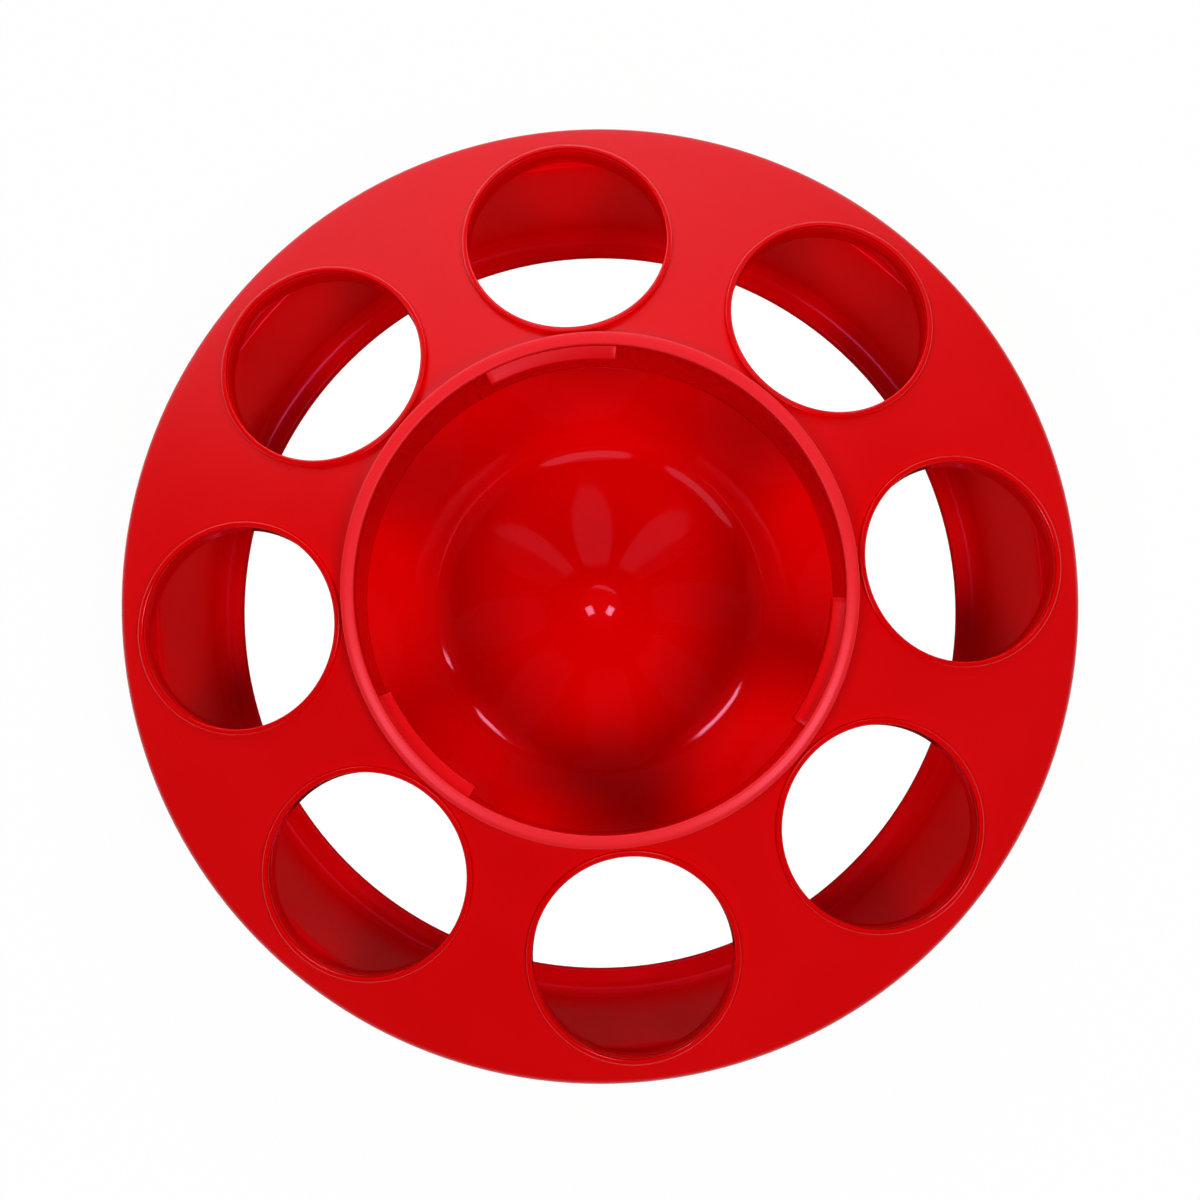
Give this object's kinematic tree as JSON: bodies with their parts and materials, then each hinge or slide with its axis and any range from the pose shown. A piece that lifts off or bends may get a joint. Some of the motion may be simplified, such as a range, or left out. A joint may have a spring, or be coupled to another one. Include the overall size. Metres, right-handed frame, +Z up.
{
  "type": "chick feeder base",
  "caption": "Round screw-on base that feeds chicks from an inverted jar: a conical cover with feed holes and a threaded collar lifts off a trough with a spreader cone.",
  "frame": {"origin": "centre of the flat underside that the feeder rests on", "axes": "+Z up through the jar collar, from the ground to the jar; +X to the right and +Y away from the reader, as in the picture seen from above"},
  "size_m": [0.15, 0.15, 0.0507],
  "materials": {
    "cover_red": "satin moulded polypropylene, opaque red",
    "trough_red": "glossy moulded polypropylene, opaque red",
    "cone_red": "polished moulded polypropylene, opaque red",
    "tray_clear": "clear moulded plastic"
  },
  "bodies": {
    "trough": {"trough_ring": "trough_red", "feed_tray": "tray_clear", "spreader_cone": "cone_red"},
    "cover": {"feed_cover": "cover_red", "jar_collar": "cover_red"}
  },
  "joints": [
    {"name": "cover_lift", "type": "slide", "parent": "trough", "child": "cover", "axis": [0, 0, 1], "range_m": [0, 0.04]}
  ]
}
